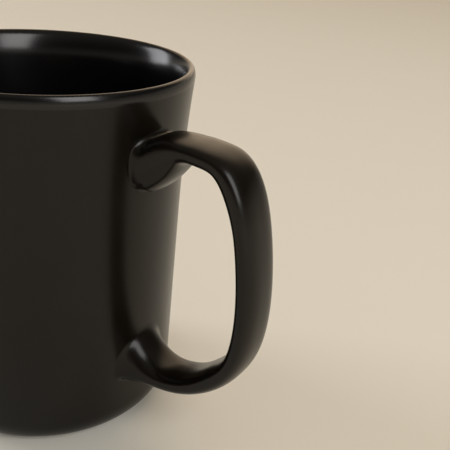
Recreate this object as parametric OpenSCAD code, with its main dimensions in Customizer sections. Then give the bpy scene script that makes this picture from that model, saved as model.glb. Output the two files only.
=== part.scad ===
// Stoneware mug. A turned clay cup stands on a bare foot ring, and a pressed clay handle is luted to its
// wall with slip. A satin glaze covers the outside and the handle, and a gloss glaze lines the cup.
// The origin is at the middle of the foot ring, +Z is up and the handle is on +X.

/* [Cup] */
// Height from the table to the top of the lip
cup_h = 105; // [85:1:130]
// Outer diameter at the lip
rim_d = 85.8; // [76:0.2:105]
// Outer diameter where the wall starts to flare
waist_d = 80; // [66:0.2:86]
// Outer diameter of the wall's straight taper, carried down to the table
base_d = 77.2; // [70:0.2:80]
// Height at which the wall starts to flare
flare_z = 63; // [50:1:80]
// Thickness of the finished wall
wall_t = 4; // [3:0.1:5]
// Distance from the outside of the wall in to the ridge of the lip
lip_out = 1.1; // [0.9:0.05:1.6]
// Height of the rounding outside the ridge
lip_out_h = 2.6; // [1.2:0.1:3]
// Height of the longer rounding inside the ridge
lip_in_h = 8; // [4:0.5:14]
// Thickness of the finished floor at the middle
floor_t = 5; // [4:0.1:7]
// Radius of the corner between wall and floor, inside
floor_corner_r = 9; // [5:0.5:14]

/* [Foot] */
// Height that the foot ring stands below the rounded heel
foot_h = 1; // [0.6:0.1:3]
// Width of the foot ring's flat face
foot_w = 3.2; // [2.4:0.1:6]
// Depth of the hollow inside the foot ring
foot_hollow = 1.8; // [1.2:0.1:3]
// Width of the rounded heel, from the wall in to the foot ring
heel_w = 5; // [3:0.1:8]
// Height of the rounded heel
heel_h = 7.4; // [4:0.1:12]

/* [Glaze] */
// Thickness of each glaze coat
glaze_t = 0.4; // [0.3:0.05:0.6]
// Distance below the top of the lip at which the gloss glaze meets the satin glaze
glaze_break = 3.2; // [3.1:0.1:6]

/* [Handle] */
// Distance from the top of the lip down to the middle of the upper root
upper_root_drop = 18; // [16:0.5:35]
// Height of the middle of the lower root
lower_root_z = 21; // [17:0.5:35]
// Distance that the grip's spine stands out from the wall
handle_out = 35.8; // [28:0.1:45]
// Width of the grip
grip_w = 13; // [10:0.1:20]
// Thickness of the grip
grip_t = 5; // [4.6:0.1:10]
// Squareness of the grip's section, where 2 is an ellipse
grip_square = 2.5; // [2:0.05:4]
// Squareness of the lower root's section
lower_square = 2.1; // [2:0.05:4]
// Width of the upper root
upper_w = 15.6; // [14:0.1:24]
// Extra thickness of the upper root on the finger side
upper_inner = 6.4; // [2:0.1:8]
// Extra thickness of the upper root on the outer side
upper_outer = 2.6; // [0:0.1:4]
// Width of the lower root
lower_w = 15.4; // [14:0.1:24]
// Extra thickness of the lower root on the finger side
lower_inner = 7; // [2:0.1:8]
// Extra thickness of the lower root on the outer side
lower_outer = 1.4; // [0:0.1:4]
// Extra thickness of each bend on the finger side
bend_inner = 0.8; // [0:0.1:2]
// Length of handle from either root to the middle of its bend
bend_at = 29; // [26:0.5:34]
// Length of handle over which the upper root thickens
upper_len = 13; // [8:0.5:18]
// Length of handle over which the lower root thickens
lower_len = 14; // [8:0.5:18]
// Length of handle over which either root widens
widen_len = 10; // [8:0.5:30]
// Thickness of the slip between the wall and each root, at its thinnest
slip_t = 1.5; // [1:0.1:3]

/* [Hidden] */

CLAY = "#6b5a48";
SLIP = "#7d6a55";
SATIN = "#24221c";
GLOSS = "#0c0c0e";

rim_r = rim_d / 2;
waist_r = waist_d / 2;
base_r = base_d / 2;
taper = (waist_r - base_r) / flare_z;
flare_rise = cup_h - flare_z;
flare_bend = (rim_r - waist_r - taper * flare_rise) / (flare_rise * flare_rise);
lip_z = cup_h - lip_out_h;
lip_in_z = cup_h - lip_in_h;
break_z = cup_h - glaze_break;
heel_z = foot_h + heel_h;
floor_z = foot_hollow + floor_t;
arc_steps = 10;
wall_steps = 12;
turn_fn = 96;

// Radius of the finished outer wall at height z
function wall_r(z) =
    base_r + taper * z + (z > flare_z ? flare_bend * (z - flare_z) * (z - flare_z) : 0);
// Radius of the finished inner wall at height z, below the lip
function bore_r(z) = wall_r(z) - wall_t;
// Points of an elliptical arc about c with half axes a and b, from angle a0 to a1
function arc(c, a, b, a0, a1) =
    [for (i = [0:arc_steps])
        let (t = a0 + (a1 - a0) * i / arc_steps) [c.x + a * cos(t), c.y + b * sin(t)]];
// Points up or down a wall of radius f(z) - skin, without the two ends
function run(z0, z1, f, skin) =
    [for (i = [1:wall_steps - 1])
        let (z = z0 + (z1 - z0) * i / wall_steps) [f(z) - skin, z]];

heel_c = [wall_r(heel_z) - heel_w, heel_z];
foot_r = heel_c.x;
corner_z = floor_z + floor_corner_r;
corner_c = [bore_r(corner_z) - floor_corner_r, corner_z];
ridge_r = wall_r(lip_z) - lip_out;

// Outer outline from the foot ring's edge up to the glaze break, a coat of skin below the surface
function outside(skin) = concat(
    arc(heel_c, heel_w - skin, heel_h - skin, -90, 0),
    run(heel_z, break_z, function (z) wall_r(z), skin),
    [[wall_r(break_z) - skin, break_z]]);
// The rounding from the outside up to the lip's ridge
function lip(skin) = arc([ridge_r, lip_z], lip_out - skin, lip_out_h - skin, 0, 90);
// The longer rounding from the ridge down to the inner wall, without the ridge's own point
function inner_lip(skin) = let (
    top = cup_h - skin,
    reach = ridge_r - skin - bore_r(top))
    [for (i = [1:arc_steps]) let (
        a = 90 - 90 * i / arc_steps,
        z = lip_in_z + (top - lip_in_z) * sin(a))
        [bore_r(z) + skin + reach * (1 - cos(a)), z]];
// Inner outline from the lip's ridge down to the floor's middle
function inside(skin) = concat(
    inner_lip(skin),
    run(lip_in_z, corner_z, function (z) bore_r(z), -skin),
    arc(corner_c, floor_corner_r + skin, floor_corner_r + skin, 0, -90),
    [[0, floor_z - skin]]);
// Whole cup, solid from the outline to the axis, with the hollow cut out of it
function cup_outline(skin) = concat(
    [[0, foot_hollow], [foot_r - foot_w, foot_hollow], [foot_r - foot_w, 0], [foot_r, 0]],
    outside(skin), lip(skin), inside(skin));
// The cup's outer form with no hollow
function full_outline(skin) = concat(
    [[0, foot_h], [foot_r, foot_h]], outside(skin), lip(skin), [[0, cup_h - skin]]);

// One side of the gloss coat, from the glaze break over the lip and down to the floor's middle
function liner_side(skin) = concat([[wall_r(break_z) - skin, break_z]], lip(skin), inside(skin));
function reversed(points) = [for (i = [len(points) - 1:-1:0]) points[i]];

module turned(outline) rotate_extrude($fn = turn_fn) polygon(outline);

// The handle's spine is a cubic B-spline whose poles stand out from the wall by a share of
// handle_out and up from the lower root by a share of the distance between the roots.
upper_root_z = cup_h - upper_root_drop;
function root_x(z) = wall_r(z) + slip_t;
upper_root = [root_x(upper_root_z + grip_t / 2 + upper_outer), upper_root_z];
lower_root = [root_x(lower_root_z + grip_t / 2 + lower_inner), lower_root_z];
grip_wall = wall_r((upper_root_z + lower_root_z) / 2);
function pole(out, up) =
    [grip_wall + out * handle_out, lower_root_z + up * (upper_root_z - lower_root_z)];
spine_poles = [
    upper_root,
    pole(0.3, 1.08), pole(0.56, 1.07), pole(0.7, 1.063), pole(0.87, 0.95),
    pole(0.98, 0.63), pole(0.985, 0.36), pole(0.87, 0.165), pole(0.46, 0.01),
    lower_root,
];
pole_last = len(spine_poles) - 1;
poles = concat(
    [2 * spine_poles[0] - spine_poles[1]], spine_poles,
    [2 * spine_poles[pole_last] - spine_poles[pole_last - 1]]);
span_steps = 4;
spine_last = pole_last * span_steps;
ring_sides = 24;
square_blend_len = 12;
bend_len = 12;
lower_curve = 2.5;

function weights(u) = [
    (1 - u) * (1 - u) * (1 - u), 3 * u * u * u - 6 * u * u + 4,
    -3 * u * u * u + 3 * u * u + 3 * u + 1, u * u * u] / 6;
function slopes(u) = [
    -(1 - u) * (1 - u), 3 * u * u - 4 * u, -3 * u * u + 2 * u + 1, u * u] / 2;
function blend(w, i) = w[0] * poles[i] + w[1] * poles[i + 1] + w[2] * poles[i + 2] + w[3] * poles[i + 3];
function span(k) = min(floor(k / span_steps), pole_last - 1);
function spine(k) = blend(weights(k / span_steps - span(k)), span(k));
function heading(k) =
    let (d = blend(slopes(k / span_steps - span(k)), span(k))) d / norm(d);
spine_points = [for (k = [0:spine_last]) spine(k)];
function length_to(k) = k == 0 ? 0 : length_to(k - 1) + norm(spine_points[k] - spine_points[k - 1]);
spine_len = length_to(spine_last);

function smooth(x) = let (c = max(0, min(1, x))) c * c * (3 - 2 * c);
// How far the section has grown, from 0 to 1, at distance d from a root. The upper root thickens
// evenly, the lower one ever faster towards the wall, and a bend evenly to either side of its middle.
function widen(d) = pow(max(0, 1 - d / widen_len), 2);
function thicken_upper(d) = smooth(1 - d / upper_len);
function thicken_lower(d) = pow(max(0, 1 - d / lower_len), lower_curve);
function thicken_bend(d) = smooth(1 - abs(d - bend_at) / bend_len);
function signed_pow(x, e) = sign(x) * pow(abs(x), e);

// Ring k of the handle's surface, grown outward by grow. Its section turns upright at the roots,
// so that both ends are flat and face the wall.
function ring(k, grow) = let (
    from_upper = length_to(k),
    from_lower = spine_len - from_upper,
    h = heading(k),
    square_on = [-h.y, h.x],
    at_upper = smooth(from_upper / square_blend_len),
    at_lower = smooth(from_lower / square_blend_len),
    mixed = square_on * at_upper * at_lower + [0, 1] * (1 - at_upper) - [0, 1] * (1 - at_lower),
    side = mixed / norm(mixed),
    upper = thicken_upper(from_upper),
    lower = thicken_lower(from_lower),
    root_w = (upper_w - grip_w) * widen(from_upper) + (lower_w - grip_w) * widen(from_lower),
    half_w = (grip_w + root_w) / 2 + grow,
    half_out = grip_t / 2 + upper_outer * upper + lower_outer * lower + grow,
    bend = bend_inner * (thicken_bend(from_upper) + thicken_bend(from_lower)),
    half_in = grip_t / 2 + upper_inner * upper + lower_inner * lower + bend + grow,
    e = 2 / (grip_square + (lower_square - grip_square) * smooth(1 - from_lower / lower_len)))
    [for (j = [0:ring_sides - 1]) let (
        a = 360 * j / ring_sides,
        across = half_w * signed_pow(cos(a), e),
        lift = (sin(a) > 0 ? half_out : half_in) * signed_pow(sin(a), e),
        p = spine_points[k] + side * lift)
        [p.x, across, p.y]];
function rings(grow) = [for (k = [0:spine_last]) each ring(k, grow)];

// Triangles of a tube between rings, whose first point is number first. Flipped turns it inside out.
function tube_faces(first, flipped) = [
    for (k = [0:spine_last - 1], j = [0:ring_sides - 1]) let (
        a = first + k * ring_sides + j,
        b = first + k * ring_sides + (j + 1) % ring_sides,
        c = b + ring_sides,
        d = a + ring_sides)
        each flipped ? [[a, c, b], [a, d, c]] : [[a, b, c], [a, c, d]]];
function end_face(k, flipped) = let (
    loop = [for (j = [0:ring_sides - 1]) k * ring_sides + j])
    flipped ? [for (j = [ring_sides - 1:-1:0]) loop[j]] : loop;
// Triangles of the flat ring between an outer end and the inner end that starts at number first
function rim_faces(k, first, flipped) = [
    for (j = [0:ring_sides - 1]) let (
        a = k * ring_sides + j,
        b = k * ring_sides + (j + 1) % ring_sides,
        c = first + b,
        d = first + a)
        each flipped ? [[a, c, b], [a, d, c]] : [[a, b, c], [a, c, d]]];

// Straight prism along X on the outline of the root at ring k, from the axis out to the root's face
module root_prism(k, grow) {
    outline = [for (p = ring(k, grow)) [p.y, p.z]];
    face_x = spine_points[k].x;
    translate([face_x, 0, 0])
        rotate([90, 0, -90])
            linear_extrude(height = face_x)
                polygon([for (q = outline) [-q.x, q.y]]);
}

// Slip that fills the space between the clay wall and the flat face of the root at ring k
module slip_joint(k) {
    difference() {
        root_prism(k, 0);
        turned(full_outline(glaze_t));
    }
}

module cup_body() {
    color(CLAY) turned(cup_outline(glaze_t));
}

module handle() {
    color(CLAY)
        polyhedron(rings(0), concat(
            tube_faces(0, false), [end_face(0, true), end_face(spine_last, false)]));
}

module upper_joint() {
    color(SLIP) slip_joint(0);
}

module lower_joint() {
    color(SLIP) slip_joint(spine_last);
}

module outer_glaze() {
    coat = concat(
        [[foot_r, foot_h + glaze_t]], outside(0), [[0, break_z], [0, foot_h + glaze_t]]);
    color(SATIN)
        difference() {
            union() {
                turned(coat);
                for (k = [0, spine_last])
                    root_prism(k, glaze_t);
            }
            turned(full_outline(glaze_t));
            for (k = [0, spine_last])
                root_prism(k, 0);
        }
}

module liner_glaze() {
    color(GLOSS) turned(concat(liner_side(0), reversed(liner_side(glaze_t))));
}

module handle_glaze() {
    inner = (spine_last + 1) * ring_sides;
    color(SATIN)
        polyhedron(concat(rings(glaze_t), rings(0)), concat(
            tube_faces(0, false), tube_faces(inner, true),
            rim_faces(0, inner, true), rim_faces(spine_last, inner, false)));
}

module base_glaze() {
    color(SATIN)
        translate([0, 0, foot_hollow - glaze_t])
            cylinder(r = foot_r - foot_w, h = glaze_t, $fn = turn_fn);
}

cup_body();
handle();
upper_joint();
lower_joint();
outer_glaze();
liner_glaze();
handle_glaze();
base_glaze();
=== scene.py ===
"""Stoneware mug: fine meshes, glazes and a small studio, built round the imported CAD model.

Lengths are in metres, +Z is up, the origin is at the middle of the foot ring and the handle is on +X.
"""

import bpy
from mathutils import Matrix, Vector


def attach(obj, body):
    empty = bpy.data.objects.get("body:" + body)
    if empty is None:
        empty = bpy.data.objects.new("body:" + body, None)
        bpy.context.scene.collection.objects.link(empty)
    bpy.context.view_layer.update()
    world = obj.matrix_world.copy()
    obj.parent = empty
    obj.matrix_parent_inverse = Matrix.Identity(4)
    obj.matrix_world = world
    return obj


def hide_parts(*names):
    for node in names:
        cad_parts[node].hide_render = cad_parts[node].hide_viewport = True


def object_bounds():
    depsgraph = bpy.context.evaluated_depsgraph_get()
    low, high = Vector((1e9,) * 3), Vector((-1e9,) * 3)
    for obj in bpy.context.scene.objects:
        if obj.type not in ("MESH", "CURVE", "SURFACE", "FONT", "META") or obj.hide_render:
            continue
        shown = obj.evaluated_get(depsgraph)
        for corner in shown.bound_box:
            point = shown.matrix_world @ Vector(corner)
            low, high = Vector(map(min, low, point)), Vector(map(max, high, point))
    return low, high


bl_info = {
    "name": "Stoneware Mug",
    "version": (1, 0, 0),
    "blender": (4, 5, 0),
    "location": "View3D > Sidebar > Mug",
    "description": "Builds a glazed stoneware mug with a pressed handle, and the studio it stands in",
    "category": "Object",
}

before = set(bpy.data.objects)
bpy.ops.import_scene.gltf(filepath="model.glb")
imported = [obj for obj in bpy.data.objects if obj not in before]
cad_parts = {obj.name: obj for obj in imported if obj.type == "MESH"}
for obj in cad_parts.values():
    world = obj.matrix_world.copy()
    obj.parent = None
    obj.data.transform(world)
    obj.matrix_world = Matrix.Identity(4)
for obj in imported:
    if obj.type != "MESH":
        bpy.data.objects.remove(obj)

import math

import bmesh
import bpy
from bpy.props import FloatProperty, FloatVectorProperty, PointerProperty
from mathutils import Matrix, Vector

CAD_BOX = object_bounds()
MM = 0.001
TINY = 1e-7

# How finely each surface is divided
TURN_SIDES = 256
ARC_STEPS = 16
LIP_STEPS = 32
WALL_STEPS = 40
HANDLE_SIDES = 96
HANDLE_ROWS = 220
FILLET_STEPS = 10
SPAN_STEPS = 32
SHARP_ANGLE = math.radians(35)

# The bends of the handle's spine: shares of its reach, and of the height between its roots
SPINE_BENDS = [
    (0.3, 1.08), (0.56, 1.07), (0.7, 1.063), (0.87, 0.95),
    (0.98, 0.63), (0.985, 0.36), (0.87, 0.165), (0.46, 0.01),
]
# How far in from a root's face the fillet beside it starts, at least
ROOT_BITE = 0.5 * MM
# Length of a Bezier curve's handles, where the curve is a quarter of a circle of radius 1
CIRCLE_HANDLE = 0.5523
# Length of the short steps that give a surface's direction
TANGENT_STEP = 0.05 * MM
# Depth to which a fillet's edge is sunk into the wall
SINK = 0.03 * MM

PAPER_T = 2 * MM
LAMP_AIM_Z = 60 * MM
# Name, bearing and lift in degrees, distance, size across and up, watts, colour of each softbox
SOFTBOXES = [
    ("window_softbox", 196, 20, 2.4, (1.0, 1.2), 19, "#fbfbff"),
    ("side_softbox", 342, 34, 2.2, (0.95, 1.6), 25, "#fcf9f8"),
]
# The ceiling brightens between these heights of the unit direction
CEILING_RISE = (0.1, 1.0)
CEILING_STRENGTH = 0.26
CEILING_COLOUR = "#fff1de"
# The wall behind the floor fades out by this height of the unit direction
HAZE_TOP = 0.34
HAZE_STRENGTH = 0.55
HAZE_COLOUR = "#f6ebda"
# Bearing and lift of the glow's middle, and the angles from it at which the glow starts and is full
GLOW_BEARING = (115, 33)
GLOW_EDGES = (43, 10)
GLOW_STRENGTH = 1.45
GLOW_COLOUR = "#ffe2be"


def linear(hex_colour):
    """sRGB hex colour as linear red, green and blue."""
    channels = [int(hex_colour[i:i + 2], 16) / 255 for i in (1, 3, 5)]
    return [c / 12.92 if c <= 0.04045 else ((c + 0.055) / 1.055) ** 2.4 for c in channels]


def length(name, description, mm):
    """Property that holds a length, given in millimetres and kept in metres."""
    return FloatProperty(
        name=name, description=description, default=mm * MM,
        min=0.0, precision=5, unit="LENGTH", subtype="DISTANCE")


def colour(name, description, hex_colour):
    """Property that holds a surface colour."""
    return FloatVectorProperty(
        name=name, description=description, default=linear(hex_colour),
        min=0.0, max=1.0, size=3, subtype="COLOR")


class MugCup(bpy.types.PropertyGroup):
    """Sizes of the turned cup, over its glaze"""

    height: length("Height", "Table to the top of the lip", CAD_BOX[1].z / MM)
    rim_d: length("Lip diameter", "Outer diameter at the lip", 85.8)
    waist_d: length("Waist diameter", "Outer diameter where the wall starts to flare", 80)
    base_d: length("Base diameter", "Outer diameter of the taper, carried down to the table", 77.2)
    flare_z: length("Flare height", "Height at which the wall starts to flare", 63)
    wall_t: length("Wall", "Thickness of the wall", 4)
    lip_out: length("Lip, outside", "Outside of the wall in to the ridge of the lip", 1.1)
    lip_out_h: length("Lip rounding, outside", "Height of the rounding outside the ridge", 2.6)
    lip_in_h: length("Lip rounding, inside", "Height of the longer rounding inside the ridge", 8)
    floor_t: length("Floor", "Thickness of the floor at the middle", 5)
    floor_corner_r: length("Floor corner", "Radius between wall and floor, inside", 9)
    foot_h: length("Foot height", "Height of the foot ring below the heel", 1)
    foot_w: length("Foot width", "Width of the foot ring's flat face", 3.2)
    foot_hollow: length("Foot hollow", "Depth of the hollow inside the foot ring", 1.8)
    foot_edge: length("Foot edge", "Radius of the sponged edges of the foot ring", 0.45)
    heel_w: length("Heel width", "Width of the rounded heel", 5)
    heel_h: length("Heel height", "Height of the rounded heel", 7.4)


class MugGlaze(bpy.types.PropertyGroup):
    """Thickness and colours of the clay and its glazes"""

    coat_t: length("Coat", "Thickness of each glaze coat", 0.4)
    break_drop: length("Glaze break", "Drop from the lip to where the two glazes meet", 3.2)
    satin: colour("Satin glaze", "Black glaze on the outside and the handle", "#0c0a07")
    satin_thin: colour("Satin glaze, thin", "The same glaze where it lies thinner", "#120e09")
    gloss: colour("Gloss glaze", "Black glaze that lines the cup", "#060607")
    gloss_thin: colour("Gloss glaze, thin", "The same glaze where it lies thinner", "#0b0a0b")
    clay: colour("Clay", "Bare fired stoneware", "#6b5a48")
    clay_fleck: colour("Clay flecks", "Iron flecks in the fired clay", "#33261c")
    slip: colour("Slip", "Fired luting slip", "#7d6a55")


class MugHandle(bpy.types.PropertyGroup):
    """Sizes of the handle's clay, under its glaze"""

    upper_drop: length("Upper root", "Lip down to the middle of the upper root", 18)
    lower_z: length("Lower root", "Height of the middle of the lower root", 21)
    out: length("Reach", "Distance that the spine stands out from the wall", 35.8)
    grip_w: length("Grip width", "Width of the grip", 13)
    grip_t: length("Grip thickness", "Thickness of the grip", 5)
    square: FloatProperty(
        name="Squareness", description="Exponent of the section, where 2 is an ellipse", default=2.5)
    lower_square: FloatProperty(
        name="Lower squareness", description="Exponent of the lower root's section", default=2.1)
    upper_w: length("Upper width", "Width of the upper root", 15.6)
    upper_inner: length("Upper spread, inside", "Extra thickness on the finger side", 6.4)
    upper_outer: length("Upper spread, outside", "Extra thickness on the outer side", 2.6)
    lower_w: length("Lower width", "Width of the lower root", 15.4)
    lower_inner: length("Lower spread, inside", "Extra thickness on the finger side", 7)
    lower_outer: length("Lower spread, outside", "Extra thickness on the outer side", 1.4)
    bend_inner: length("Bends", "Extra thickness of each bend on the finger side", 0.8)
    bend_at: length("Bend place", "Length from either root to the middle of its bend", 29)
    bend_len: length("Bend length", "Length either way over which a bend thins out again", 12)
    upper_len: length("Upper root length", "Length over which the upper root thickens", 13)
    lower_len: length("Lower root length", "Length over which the lower root thickens", 14)
    widen_len: length("Widening length", "Length over which either root widens", 10)
    slip_t: length("Slip", "Thickness of slip under each root", 1.5)
    turn_len: length("Turn", "Length over which a section turns upright at a root", 12)
    root_curve: FloatProperty(
        name="Lower root curve", description="Exponent of the lower root's swelling", default=2.5)
    upper_fillet_top: length("Upper fillet, top", "Radius of the slip above the upper root", 1.6)
    upper_fillet_side: length("Upper fillet, sides", "Radius of the slip beside the upper root", 0.8)
    upper_fillet_foot: length("Upper fillet, foot", "Radius of the slip under the upper root", 0.8)
    lower_fillet_top: length("Lower fillet, top", "Radius of the slip above the lower root", 2.6)
    lower_fillet_side: length("Lower fillet, sides", "Radius of the slip beside the lower root", 2.6)
    lower_fillet_foot: length("Lower fillet, foot", "Radius of the slip under the lower root", 0.35)


class MugStage(bpy.types.PropertyGroup):
    """The floor and the camera"""

    paper: colour("Paper", "Colour of the seamless floor", "#f7f5ea")
    floor_r: length("Floor radius", "Radius of the flat floor", 4000)
    camera_at: FloatVectorProperty(
        name="Camera", description="Where the camera stands", size=3,
        default=(144.29 * MM, -128.56 * MM, 145.23 * MM), unit="LENGTH", subtype="XYZ")
    camera_turn: FloatProperty(
        name="Camera bearing", description="Bearing that the camera faces, from +X towards +Y",
        default=math.radians(121.92), subtype="ANGLE")
    camera_pitch: FloatProperty(
        name="Camera pitch", description="Angle that the camera looks down",
        default=math.radians(25.03), subtype="ANGLE")
    camera_roll: FloatProperty(
        name="Camera roll", description="Turn of the camera about its own axis",
        default=math.radians(5.11), subtype="ANGLE")
    lens: FloatProperty(name="Lens", description="Focal length in millimetres", default=53.62)


# ---------------------------------------------------------------- outlines of the turned cup


def wall_r(cup, z):
    """Radius of the outer wall at height z."""
    taper = (cup.waist_d - cup.base_d) / 2 / cup.flare_z
    rise = cup.height - cup.flare_z
    bend = ((cup.rim_d - cup.waist_d) / 2 - taper * rise) / rise ** 2
    return cup.base_d / 2 + taper * z + bend * max(0.0, z - cup.flare_z) ** 2


def bore_r(cup, z):
    """Radius of the inner wall at height z, below the lip."""
    return wall_r(cup, z) - cup.wall_t


def ridge(cup):
    """Radius of the lip's ridge, and the height at which the rounding outside it starts."""
    z = cup.height - cup.lip_out_h
    return wall_r(cup, z) - cup.lip_out, z


def arc(centre, a, b, start, end):
    """Points of an elliptical arc, with its angles in degrees."""
    turns = [math.radians(start + (end - start) * i / ARC_STEPS) for i in range(ARC_STEPS + 1)]
    return [(centre[0] + a * math.cos(t), centre[1] + b * math.sin(t)) for t in turns]


def heel_centre(cup):
    """Radius and height of the middle of the heel's rounding."""
    z = cup.foot_h + cup.heel_h
    return wall_r(cup, z) - cup.heel_w, z


def outside(cup, glaze, skin):
    """Outer outline from the foot ring's edge up to the glaze break, skin below the surface."""
    centre = heel_centre(cup)
    rise = cup.height - glaze.break_drop - centre[1]
    heel = arc(centre, cup.heel_w - skin, cup.heel_h - skin, -90, 0)
    heights = [centre[1] + rise * i / WALL_STEPS for i in range(1, WALL_STEPS + 1)]
    return heel + [(wall_r(cup, z) - skin, z) for z in heights]


def over_lip(cup, skin):
    """The rounding from the outside up to the lip's ridge, and the longer one inside it."""
    r, z = ridge(cup)
    top = cup.height - skin
    low = cup.height - cup.lip_in_h
    reach = r - skin - bore_r(cup, top)
    points = arc((r, z), cup.lip_out - skin, cup.lip_out_h - skin, 0, 90)
    for i in range(1, LIP_STEPS + 1):
        turn = math.pi / 2 * (1 - i / LIP_STEPS)
        height = low + (top - low) * math.sin(turn)
        points.append((bore_r(cup, height) + skin + reach * (1 - math.cos(turn)), height))
    return points


def inside(cup, skin):
    """Inner outline from below the lip down to the floor's middle."""
    lip_low = cup.height - cup.lip_in_h
    corner_z = cup.foot_hollow + cup.floor_t + cup.floor_corner_r
    heights = [lip_low + (corner_z - lip_low) * i / WALL_STEPS for i in range(1, WALL_STEPS)]
    corner = (bore_r(cup, corner_z) - cup.floor_corner_r, corner_z)
    reach = cup.floor_corner_r + skin
    return [(bore_r(cup, z) + skin, z) for z in heights] + arc(corner, reach, reach, 0, -90)


def foot_ring(cup):
    """Outline of the bare foot ring, with sponged edges, from the hollow to the heel."""
    outer = heel_centre(cup)[0]
    inner = outer - cup.foot_w
    edge = cup.foot_edge
    return (
        [(inner, cup.foot_hollow)]
        + arc((inner + edge, edge), edge, edge, 180, 270)
        + arc((outer - edge, edge), edge, edge, 270, 360))


# ---------------------------------------------------------------- meshes


def bridge(bm, lower, upper):
    """Faces between two closed rows of points, either of which may be a single point."""
    count = max(len(lower), len(upper))
    if count == 1:
        return
    for i in range(count):
        j = (i + 1) % count
        if len(lower) == 1:
            bm.faces.new((lower[0], upper[j], upper[i]))
        elif len(upper) == 1:
            bm.faces.new((lower[i], lower[j], upper[0]))
        else:
            bm.faces.new((lower[i], lower[j], upper[j], upper[i]))


def closed_rows(name, rows):
    """Object whose surface runs through the rows in order and back to the first."""
    bm = bmesh.new()
    made = [[bm.verts.new(point) for point in row] for row in rows]
    for lower, upper in zip(made, made[1:] + made[:1]):
        bridge(bm, lower, upper)
    bmesh.ops.recalc_face_normals(bm, faces=bm.faces)
    mesh = bpy.data.meshes.new(name)
    bm.to_mesh(mesh)
    bm.free()
    for polygon in mesh.polygons:
        polygon.use_smooth = True
    mesh.set_sharp_from_angle(angle=SHARP_ANGLE)
    piece = bpy.data.objects.new(name, mesh)
    bpy.context.scene.collection.objects.link(piece)
    return piece


def turned(name, outline):
    """Solid of revolution about Z, from a closed outline of (radius, height) points."""
    turns = [2 * math.pi * i / TURN_SIDES for i in range(TURN_SIDES)]
    rows = []
    for r, z in outline:
        if r < TINY:
            rows.append([(0.0, 0.0, z)])
        else:
            rows.append([(r * math.cos(t), r * math.sin(t), z) for t in turns])
    return closed_rows(name, rows)


def finish_piece(piece, material, slot, *nodes):
    """Gives a piece its material, and lets it stand for its CAD nodes. The slot is not used."""
    piece.data.materials.clear()
    piece.data.materials.append(material)
    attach(piece, "root")
    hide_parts(*nodes)
    return piece


# ---------------------------------------------------------------- the handle


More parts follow.
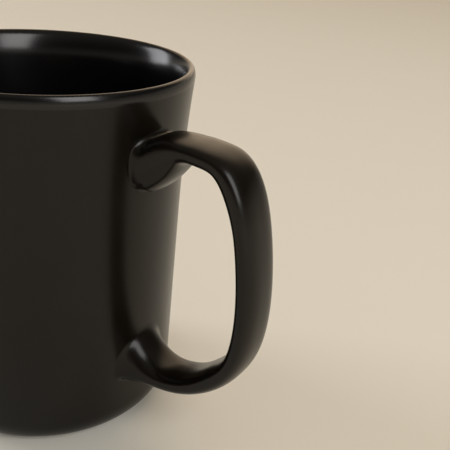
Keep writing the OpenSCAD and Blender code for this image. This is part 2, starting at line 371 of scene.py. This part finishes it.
class HandleForm:
    """The handle's surface as a function of the distance along it and the angle round it."""

    def __init__(self, cup, handle):
        self.cup = cup
        self.handle = handle
        poles = self.spine_poles()
        # A pole mirrored past each end makes the spine start and end on the roots
        self.poles = [2 * poles[0] - poles[1], *poles, 2 * poles[-1] - poles[-2]]
        self.spine = []
        self.headings = []
        self.lengths = [0.0]
        for i in range(len(poles) - 1):
            for step in range(SPAN_STEPS):
                self.add_point(i, step / SPAN_STEPS)
        self.add_point(len(poles) - 2, 1.0)
        for before, after in zip(self.spine, self.spine[1:]):
            self.lengths.append(self.lengths[-1] + (after - before).length)
        self.total = self.lengths[-1]

    def spine_poles(self):
        """Poles of the spine from the upper root to the lower one, as (distance out, height)."""
        handle = self.handle
        upper_z = self.cup.height - handle.upper_drop
        lower_z = handle.lower_z
        half = handle.grip_t / 2
        upper_x = self.root_x(upper_z + half + handle.upper_outer)
        lower_x = self.root_x(lower_z + half + handle.lower_inner)
        grip_wall = wall_r(self.cup, (upper_z + lower_z) / 2)
        poles = [Vector((upper_x, upper_z))]
        for out, up in SPINE_BENDS:
            poles.append(Vector((grip_wall + out * handle.out, lower_z + up * (upper_z - lower_z))))
        poles.append(Vector((lower_x, lower_z)))
        return poles

    def root_x(self, z):
        """Distance from the axis to the face of a root whose top is at height z."""
        return wall_r(self.cup, z) + self.handle.slip_t

    def add_point(self, i, u):
        """Adds the point of the cubic B-spline at share u of span i."""
        weights = ((1 - u) ** 3, 3 * u ** 3 - 6 * u ** 2 + 4,
                   -3 * u ** 3 + 3 * u ** 2 + 3 * u + 1, u ** 3)
        slopes = (-(1 - u) ** 2, 3 * u ** 2 - 4 * u, -3 * u ** 2 + 2 * u + 1, u ** 2)
        near = self.poles[i:i + 4]
        self.spine.append(sum((w * p for w, p in zip(weights, near)), Vector((0, 0))) / 6)
        self.headings.append(sum((w * p for w, p in zip(slopes, near)), Vector((0, 0))).normalized())

    def on_spine(self, s):
        """Point and heading of the spine at distance s."""
        low, high = 0, len(self.lengths) - 1
        while high - low > 1:
            middle = (low + high) // 2
            if self.lengths[middle] <= s:
                low = middle
            else:
                high = middle
        share = (s - self.lengths[low]) / (self.lengths[high] - self.lengths[low])
        point = self.spine[low].lerp(self.spine[high], share)
        return point, self.headings[low].lerp(self.headings[high], share).normalized()

    def outer_side(self, s, heading):
        """Direction to the handle's outer side: square to the spine, and upright at either root."""
        square_on = Vector((-heading.y, heading.x))
        upright = Vector((0, 1))
        at_upper = smooth(s / self.handle.turn_len)
        at_lower = smooth((self.total - s) / self.handle.turn_len)
        side = square_on * at_upper * at_lower + upright * (1 - at_upper) - upright * (1 - at_lower)
        return side.normalized()

    def half_sizes(self, s):
        """Half the width, and the thickness from the spine to the outer side and the finger side."""
        handle = self.handle
        to_lower = self.total - s
        upper = smooth(1 - s / handle.upper_len)
        lower = max(0.0, 1 - to_lower / handle.lower_len) ** handle.root_curve
        root_w = (handle.upper_w - handle.grip_w) * max(0.0, 1 - s / handle.widen_len) ** 2
        root_w += (handle.lower_w - handle.grip_w) * max(0.0, 1 - to_lower / handle.widen_len) ** 2
        half_out = handle.grip_t / 2 + handle.upper_outer * upper + handle.lower_outer * lower
        half_in = handle.grip_t / 2 + handle.upper_inner * upper + handle.lower_inner * lower
        half_in += handle.bend_inner * (self.at_bend(s) + self.at_bend(to_lower))
        return (handle.grip_w + root_w) / 2, half_out, half_in

    def at_bend(self, from_root):
        """Share of a bend's extra thickness at a distance from its root."""
        return smooth(1 - abs(from_root - self.handle.bend_at) / self.handle.bend_len)

    def point(self, s, angle, grow):
        """Point of the surface. Past a root's face the section goes straight on towards the wall."""
        handle = self.handle
        inner_s = min(max(s, 0.0), self.total)
        past = abs(s - inner_s)
        spine, heading = self.on_spine(inner_s)
        half_w, half_out, half_in = self.half_sizes(inner_s)
        rounder = smooth(1 - (self.total - inner_s) / handle.lower_len)
        exponent = 2 / (handle.square + (handle.lower_square - handle.square) * rounder)
        across = (half_w + grow) * signed_power(math.cos(angle), exponent)
        rise = signed_power(math.sin(angle), exponent)
        reach = (half_out if rise > 0 else half_in) + grow
        place = spine + self.outer_side(inner_s, heading) * rise * reach
        return Vector((place.x - past, across, place.y))

    def wall_point(self, y, z):
        """Point of the outer wall on the handle's side, at (y, z)."""
        return Vector((math.sqrt(wall_r(self.cup, z) ** 2 - y ** 2), y, z))

    def to_wall(self, end_s, angle, grow):
        """Distance from the root's face at end_s to the wall, straight on."""
        edge = self.point(end_s, angle, grow)
        return edge.x - self.wall_point(edge.y, edge.z).x


def smooth(x):
    """Goes from 0 to 1 as x does, with level ends."""
    x = min(max(x, 0.0), 1.0)
    return x * x * (3 - 2 * x)


def signed_power(x, exponent):
    """Power of x's size, with the sign of x."""
    return math.copysign(abs(x) ** exponent, x)


def outward(form, end_s, angle, grow):
    """Direction square to the root's outline, in the upright plane, as (y, z)."""
    step = math.pi / HANDLE_SIDES
    before = form.point(end_s, angle - step, grow)
    after = form.point(end_s, angle + step, grow)
    along = Vector((after.y - before.y, after.z - before.z))
    out = Vector((along.y, -along.x)).normalized()
    edge = form.point(end_s, angle, grow)
    middle = form.on_spine(end_s)[0].y
    return out if out.dot(Vector((edge.y, edge.z - middle))) > 0 else -out


def fillet(form, end_s, towards, angle, grow, radii):
    """Curve from the handle's surface out on to the wall, and where along the handle it starts.

    The radii are those at the sides, above and below, and the fillet passes smoothly between them.
    It starts its radius away from the wall. Beside a root, where the wall curves away, it starts on
    the root itself, at least ROOT_BITE in from the root's face."""
    out = outward(form, end_s, angle, grow)
    side, top, foot = radii
    radius = side * out.x ** 2 + (top if out.y > 0 else foot) * out.y ** 2
    gap = form.to_wall(end_s, angle, grow)
    along = radius * out.y ** 2 + max(radius, gap + ROOT_BITE) * out.x ** 2
    start_s = end_s + towards * (gap - along)
    start = form.point(start_s, angle, grow)
    ahead = form.point(start_s + towards * TANGENT_STEP, angle, grow)
    edge = form.point(end_s, angle, grow)
    end = form.wall_point(edge.y + out.x * radius, edge.z + out.y * radius)
    beyond = form.wall_point(
        edge.y + out.x * (radius + TANGENT_STEP), edge.z + out.y * (radius + TANGENT_STEP))
    first = start + (ahead - start).normalized() * along * CIRCLE_HANDLE
    second = end - (beyond - end).normalized() * radius * CIRCLE_HANDLE
    curve = []
    for i in range(1, FILLET_STEPS + 1):
        t = i / FILLET_STEPS
        curve.append(
            start * (1 - t) ** 3 + first * 3 * t * (1 - t) ** 2
            + second * 3 * t ** 2 * (1 - t) + end * t ** 3)
    inwards = Vector((curve[-1].x, curve[-1].y, 0)).normalized()
    curve.append(curve[-1] - inwards * SINK)
    return start_s, curve


def handle_coat_rows(cup, glaze, handle):
    """Rows of the handle's coat: over its surface from root to root, and back along the clay."""
    form = HandleForm(cup, handle)
    grow = glaze.coat_t
    lines = []
    for j in range(HANDLE_SIDES):
        angle = 2 * math.pi * j / HANDLE_SIDES
        first_s, upper = fillet(form, 0.0, -1, angle, grow, (
            handle.upper_fillet_side, handle.upper_fillet_top, handle.upper_fillet_foot))
        last_s, lower = fillet(form, form.total, 1, angle, grow, (
            handle.lower_fillet_side, handle.lower_fillet_top, handle.lower_fillet_foot))
        body = []
        for i in range(HANDLE_ROWS + 1):
            body.append(form.point(first_s + (last_s - first_s) * i / HANDLE_ROWS, angle, grow))
        first_in = -form.to_wall(0.0, angle, 0.0)
        last_in = form.total + form.to_wall(form.total, angle, 0.0)
        under = []
        for i in range(HANDLE_ROWS + 1):
            under.append(form.point(last_in + (first_in - last_in) * i / HANDLE_ROWS, angle, 0.0))
        lines.append(upper[::-1] + body + lower + under)
    return [[line[i] for line in lines] for i in range(len(lines[0]))]


# ---------------------------------------------------------------- materials


def add(tree, kind, settings=None, links=None):
    """Adds a node. Settings name its attributes or its inputs, and links feed its inputs."""
    node = tree.nodes.new(kind)
    for name, value in (settings or {}).items():
        if name in node.inputs:
            node.inputs[name].default_value = value
        else:
            setattr(node, name, value)
    for name, source in (links or {}).items():
        tree.links.new(source, node.inputs[name])
    return node


def new_material(name):
    """New material, its node tree, its output node and its object coordinates."""
    material = bpy.data.materials.new(name)
    material.use_nodes = True
    tree = material.node_tree
    tree.nodes.clear()
    output = add(tree, "ShaderNodeOutputMaterial")
    place = add(tree, "ShaderNodeTexCoord").outputs["Object"]
    return material, tree, output, place


def per(mm):
    """Texture scale at which one feature measures mm millimetres."""
    return 1 / (mm * MM)


def satin_black_glaze(glaze):
    """Satin black stoneware glaze, dipped and fired: a near-black brown with a soft, wide gloss.
    It lies a little thinner in places, and its skin has the faint dimples of a matt crystal glaze."""
    material, tree, output, place = new_material("satin_black_glaze")
    cloud = add(tree, "ShaderNodeTexNoise", {"Scale": per(9), "Detail": 3.0}, {"Vector": place})
    tint = add(
        tree, "ShaderNodeMix",
        {"data_type": "RGBA", "A": (*glaze.satin, 1), "B": (*glaze.satin_thin, 1)},
        {"Factor": cloud.outputs["Fac"]})
    grain = add(tree, "ShaderNodeTexNoise", {"Scale": per(0.7), "Detail": 2.0}, {"Vector": place})
    rough = add(
        tree, "ShaderNodeMapRange", {"To Min": 0.23, "To Max": 0.27},
        {"Value": cloud.outputs["Fac"]})
    skin = add(
        tree, "ShaderNodeBump", {"Strength": 0.25, "Distance": 0.01 * MM},
        {"Height": grain.outputs["Fac"]})
    shader = add(
        tree, "ShaderNodeBsdfPrincipled", {"IOR": 1.36},
        {"Base Color": tint.outputs["Result"], "Roughness": rough.outputs["Result"],
         "Normal": skin.outputs["Normal"]})
    tree.links.new(shader.outputs["BSDF"], output.inputs["Surface"])
    return material


def gloss_black_glaze(glaze):
    """Gloss black liner glaze, poured and fired: neutral black glass, clearer and brighter in its
    reflections than the satin, with the slow ripple of a thick glaze that ran while it was melted."""
    material, tree, output, place = new_material("gloss_black_glaze")
    cloud = add(tree, "ShaderNodeTexNoise", {"Scale": per(14), "Detail": 1.0}, {"Vector": place})
    tint = add(
        tree, "ShaderNodeMix",
        {"data_type": "RGBA", "A": (*glaze.gloss, 1), "B": (*glaze.gloss_thin, 1)},
        {"Factor": cloud.outputs["Fac"]})
    rough = add(
        tree, "ShaderNodeMapRange", {"To Min": 0.19, "To Max": 0.23},
        {"Value": cloud.outputs["Fac"]})
    ripple = add(
        tree, "ShaderNodeBump", {"Strength": 0.3, "Distance": 0.04 * MM},
        {"Height": cloud.outputs["Fac"]})
    shader = add(
        tree, "ShaderNodeBsdfPrincipled", {"IOR": 1.47},
        {"Base Color": tint.outputs["Result"], "Roughness": rough.outputs["Result"],
         "Normal": ripple.outputs["Normal"]})
    tree.links.new(shader.outputs["BSDF"], output.inputs["Surface"])
    return material


def bare_stoneware(glaze):
    """Bare fired stoneware, sponged smooth: matt brown clay with fine grog and iron flecks."""
    material, tree, output, place = new_material("bare_fired_stoneware")
    grog = add(tree, "ShaderNodeTexNoise", {"Scale": per(0.8), "Detail": 5.0}, {"Vector": place})
    cells = add(tree, "ShaderNodeTexVoronoi", {"Scale": per(2.2)}, {"Vector": place})
    fleck = add(
        tree, "ShaderNodeMapRange", {"From Min": 0.1, "From Max": 0.2, "To Min": 1.0, "To Max": 0.0},
        {"Value": cells.outputs["Distance"]})
    tint = add(
        tree, "ShaderNodeMix",
        {"data_type": "RGBA", "A": (*glaze.clay, 1), "B": (*glaze.clay_fleck, 1)},
        {"Factor": fleck.outputs["Result"]})
    tooth = add(
        tree, "ShaderNodeBump", {"Strength": 0.5, "Distance": 0.06 * MM},
        {"Height": grog.outputs["Fac"]})
    shader = add(
        tree, "ShaderNodeBsdfPrincipled", {"IOR": 1.5, "Roughness": 0.85},
        {"Base Color": tint.outputs["Result"], "Normal": tooth.outputs["Normal"]})
    tree.links.new(shader.outputs["BSDF"], output.inputs["Surface"])
    return material


def fired_slip(glaze):
    """Fired luting slip: the same clay without grog, brushed on, so finer and paler."""
    material, tree, output, place = new_material("fired_luting_slip")
    brush = add(tree, "ShaderNodeTexNoise", {"Scale": per(1.5), "Detail": 4.0}, {"Vector": place})
    tint = add(
        tree, "ShaderNodeMix",
        {"data_type": "RGBA", "A": (*glaze.slip, 1), "B": (*glaze.clay, 1)},
        {"Factor": brush.outputs["Fac"]})
    tooth = add(
        tree, "ShaderNodeBump", {"Strength": 0.4, "Distance": 0.05 * MM},
        {"Height": brush.outputs["Fac"]})
    shader = add(
        tree, "ShaderNodeBsdfPrincipled", {"IOR": 1.5, "Roughness": 0.8},
        {"Base Color": tint.outputs["Result"], "Normal": tooth.outputs["Normal"]})
    tree.links.new(shader.outputs["BSDF"], output.inputs["Surface"])
    return material


def seamless_paper(stage):
    """Matt seamless paper: an even warm white with the faintest mottle."""
    material, tree, output, place = new_material("seamless_paper")
    mottle = add(tree, "ShaderNodeTexNoise", {"Scale": per(60), "Detail": 2.0}, {"Vector": place})
    shade = add(
        tree, "ShaderNodeMapRange", {"To Min": 0.985, "To Max": 1.0}, {"Value": mottle.outputs["Fac"]})
    tint = add(
        tree, "ShaderNodeVectorMath", {"operation": "SCALE"}, {"Scale": shade.outputs["Result"]})
    tint.inputs["Vector"].default_value = stage.paper
    shader = add(
        tree, "ShaderNodeBsdfPrincipled", {"Roughness": 0.9}, {"Base Color": tint.outputs["Vector"]})
    tree.links.new(shader.outputs["BSDF"], output.inputs["Surface"])
    return material


# ---------------------------------------------------------------- operators


class MUG_OT_stage(bpy.types.Operator):
    """Makes the camera, the seamless paper, the lamps and the room"""

    bl_idname = "mug.stage"
    bl_label = "Stage"

    def execute(self, context):
        stage = context.scene.mug_stage
        self.make_camera(context, stage)
        self.make_paper(stage)
        self.make_lamps(context)
        self.make_world(context)
        context.scene.view_settings.view_transform = "Standard"
        return {"FINISHED"}

    def make_camera(self, context, stage):
        """The camera, turned to its bearing, tipped down and rolled."""
        data = bpy.data.cameras.new("camera")
        data.lens = stage.lens
        data.dof.use_dof = False
        camera = bpy.data.objects.new("camera", data)
        turn = Matrix.Rotation(stage.camera_turn - math.pi / 2, 4, "Z")
        tip = Matrix.Rotation(math.pi / 2 - stage.camera_pitch, 4, "X")
        roll = Matrix.Rotation(stage.camera_roll, 4, "Z")
        camera.matrix_world = Matrix.Translation(stage.camera_at) @ turn @ tip @ roll
        context.scene.collection.objects.link(camera)
        context.scene.camera = camera

    def make_paper(self, stage):
        """A thin, wide disc of paper under the mug."""
        outline = [(0.0, 0.0), (stage.floor_r, 0.0), (stage.floor_r, -PAPER_T), (0.0, -PAPER_T)]
        paper = turned("paper_floor", outline)
        paper.data.materials.append(seamless_paper(stage))

    def make_lamps(self, context):
        """The softboxes, each facing the middle of the mug."""
        for name, turn, lift, away, size, watts, tint in SOFTBOXES:
            data = bpy.data.lights.new(name, "AREA")
            data.shape = "RECTANGLE"
            data.size = size[0]
            data.size_y = size[1]
            data.energy = watts
            data.color = linear(tint)
            back = bearing(turn, lift)
            lamp = bpy.data.objects.new(name, data)
            lamp.location = Vector((0, 0, LAMP_AIM_Z)) + back * away
            lamp.rotation_mode = "QUATERNION"
            lamp.rotation_quaternion = back.to_track_quat("Z", "Y")
            context.scene.collection.objects.link(lamp)

    def make_world(self, context):
        """The room past the floor: a dim ceiling, a wall that fades upwards and a warm glow behind."""
        world = bpy.data.worlds.new("room")
        world.use_nodes = True
        tree = world.node_tree
        tree.nodes.clear()
        direction = add(tree, "ShaderNodeTexCoord").outputs["Generated"]
        height = add(tree, "ShaderNodeSeparateXYZ", None, {"Vector": direction}).outputs["Z"]
        facing = add(
            tree, "ShaderNodeVectorMath", {"operation": "DOT_PRODUCT"}, {"Vector": direction})
        facing.inputs[1].default_value = bearing(*GLOW_BEARING)
        glow_edges = [math.cos(math.radians(angle)) for angle in GLOW_EDGES]
        ceiling = self.room_light(
            tree, height, CEILING_RISE, (0.0, CEILING_STRENGTH), CEILING_COLOUR)
        haze = self.room_light(
            tree, height, (0.0, HAZE_TOP), (HAZE_STRENGTH, 0.0), HAZE_COLOUR)
        glow = self.room_light(
            tree, facing.outputs["Value"], glow_edges, (0.0, GLOW_STRENGTH), GLOW_COLOUR)
        room = add(tree, "ShaderNodeAddShader", None, {0: ceiling, 1: haze})
        room = add(tree, "ShaderNodeAddShader", None, {0: room.outputs["Shader"], 1: glow})
        add(tree, "ShaderNodeOutputWorld", None, {"Surface": room.outputs["Shader"]})
        context.scene.world = world

    def room_light(self, tree, value, edges, levels, tint):
        """Light whose strength runs smoothly from one level to the other as value passes the edges."""
        strength = add(
            tree, "ShaderNodeMapRange",
            {"interpolation_type": "SMOOTHSTEP", "From Min": edges[0], "From Max": edges[1],
             "To Min": levels[0], "To Max": levels[1]},
            {"Value": value})
        light = add(
            tree, "ShaderNodeBackground", {"Color": (*linear(tint), 1)},
            {"Strength": strength.outputs["Result"]})
        return light.outputs["Background"]


def bearing(turn, lift):
    """Unit direction at turn degrees from +X towards +Y and lift degrees above level."""
    across = math.radians(turn)
    up = math.radians(lift)
    return Vector((math.cos(across) * math.cos(up), math.sin(across) * math.cos(up), math.sin(up)))


class MUG_OT_clay(bpy.types.Operator):
    """Turns the clay cup and gives the handle's clay and slip their finish"""

    bl_idname = "mug.clay"
    bl_label = "Clay"

    def execute(self, context):
        cup = context.scene.mug_cup
        glaze = context.scene.mug_glaze
        skin = glaze.coat_t
        outline = [(0.0, cup.foot_hollow)] + foot_ring(cup)
        outline += outside(cup, glaze, skin) + over_lip(cup, skin) + inside(cup, skin)
        outline.append((0.0, cup.foot_hollow + cup.floor_t - skin))
        clay = bare_stoneware(glaze)
        finish_piece(turned("cup_clay", outline), clay, "clay", "cup_body")
        slip = fired_slip(glaze)
        for node, material in (("handle", clay), ("upper_joint", slip), ("lower_joint", slip)):
            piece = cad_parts[node]
            piece.data.materials.clear()
            piece.data.materials.append(material)
        return {"FINISHED"}


class MUG_OT_outer_glaze(bpy.types.Operator):
    """Coats the outside of the cup with satin glaze, and the hollow of its foot"""

    bl_idname = "mug.outer_glaze"
    bl_label = "Outer glaze"

    def execute(self, context):
        cup = context.scene.mug_cup
        glaze = context.scene.mug_glaze
        material = satin_black_glaze(glaze)
        skin = glaze.coat_t
        outline = outside(cup, glaze, 0.0) + outside(cup, glaze, skin)[::-1]
        coat = turned("outer_glaze_coat", outline)
        finish_piece(coat, material, "satin_glaze", "outer_glaze")
        r = heel_centre(cup)[0] - cup.foot_w
        top = cup.foot_hollow
        low = top - skin
        disc = [(0.0, top), (0.0, low), (r - skin, low)]
        disc += arc((r - skin, low - skin), skin, skin, 90, 0) + [(r, top)]
        base = turned("base_glaze_coat", disc)
        finish_piece(base, material, "satin_glaze", "base_glaze")
        return {"FINISHED"}


class MUG_OT_liner_glaze(bpy.types.Operator):
    """Lines the cup with gloss glaze, over the lip and down to the glaze break"""

    bl_idname = "mug.liner_glaze"
    bl_label = "Liner glaze"

    def execute(self, context):
        cup = context.scene.mug_cup
        glaze = context.scene.mug_glaze
        break_z = cup.height - glaze.break_drop
        floor_z = cup.foot_hollow + cup.floor_t
        sides = []
        for skin in (0.0, glaze.coat_t):
            side = [(wall_r(cup, break_z) - skin, break_z)]
            side += over_lip(cup, skin) + inside(cup, skin) + [(0.0, floor_z - skin)]
            sides.append(side)
        coat = turned("liner_glaze_coat", sides[0] + sides[1][::-1])
        finish_piece(coat, gloss_black_glaze(glaze), "gloss_glaze", "liner_glaze")
        return {"FINISHED"}


class MUG_OT_handle_glaze(bpy.types.Operator):
    """Coats the handle with satin glaze, smoothed on to the wall at both roots"""

    bl_idname = "mug.handle_glaze"
    bl_label = "Handle glaze"

    def execute(self, context):
        scene = context.scene
        rows = handle_coat_rows(scene.mug_cup, scene.mug_glaze, scene.mug_handle)
        coat = closed_rows("handle_glaze_coat", rows)
        finish_piece(coat, bpy.data.materials["satin_black_glaze"], "satin_glaze", "handle_glaze")
        return {"FINISHED"}


class MUG_PT_panel(bpy.types.Panel):
    """Lists the mug's sizes and the buttons that build it"""

    bl_idname = "MUG_PT_panel"
    bl_label = "Stoneware Mug"
    bl_space_type = "VIEW_3D"
    bl_region_type = "UI"
    bl_category = "Mug"

    def draw(self, context):
        for group in GROUPS:
            box = self.layout.box()
            sizes = getattr(context.scene, group)
            for name in sizes.bl_rna.properties.keys():
                if name not in ("rna_type", "name"):
                    box.prop(sizes, name)
        for operator in OPERATORS:
            self.layout.operator(operator.bl_idname)


GROUPS = {
    "mug_cup": MugCup, "mug_glaze": MugGlaze, "mug_handle": MugHandle, "mug_stage": MugStage,
}
OPERATORS = (
    MUG_OT_stage, MUG_OT_clay, MUG_OT_outer_glaze, MUG_OT_liner_glaze, MUG_OT_handle_glaze,
)


def register():
    for cls in (*GROUPS.values(), *OPERATORS, MUG_PT_panel):
        bpy.utils.register_class(cls)
    for name, group in GROUPS.items():
        setattr(bpy.types.Scene, name, PointerProperty(type=group))


def unregister():
    for name in GROUPS:
        delattr(bpy.types.Scene, name)
    for cls in (MUG_PT_panel, *reversed(OPERATORS), *reversed(GROUPS.values())):
        bpy.utils.unregister_class(cls)


def main():
    register()
    bpy.ops.mug.stage()
    bpy.ops.mug.clay()
    bpy.ops.mug.outer_glaze()
    bpy.ops.mug.liner_glaze()
    bpy.ops.mug.handle_glaze()


if __name__ == "__main__":
    main()
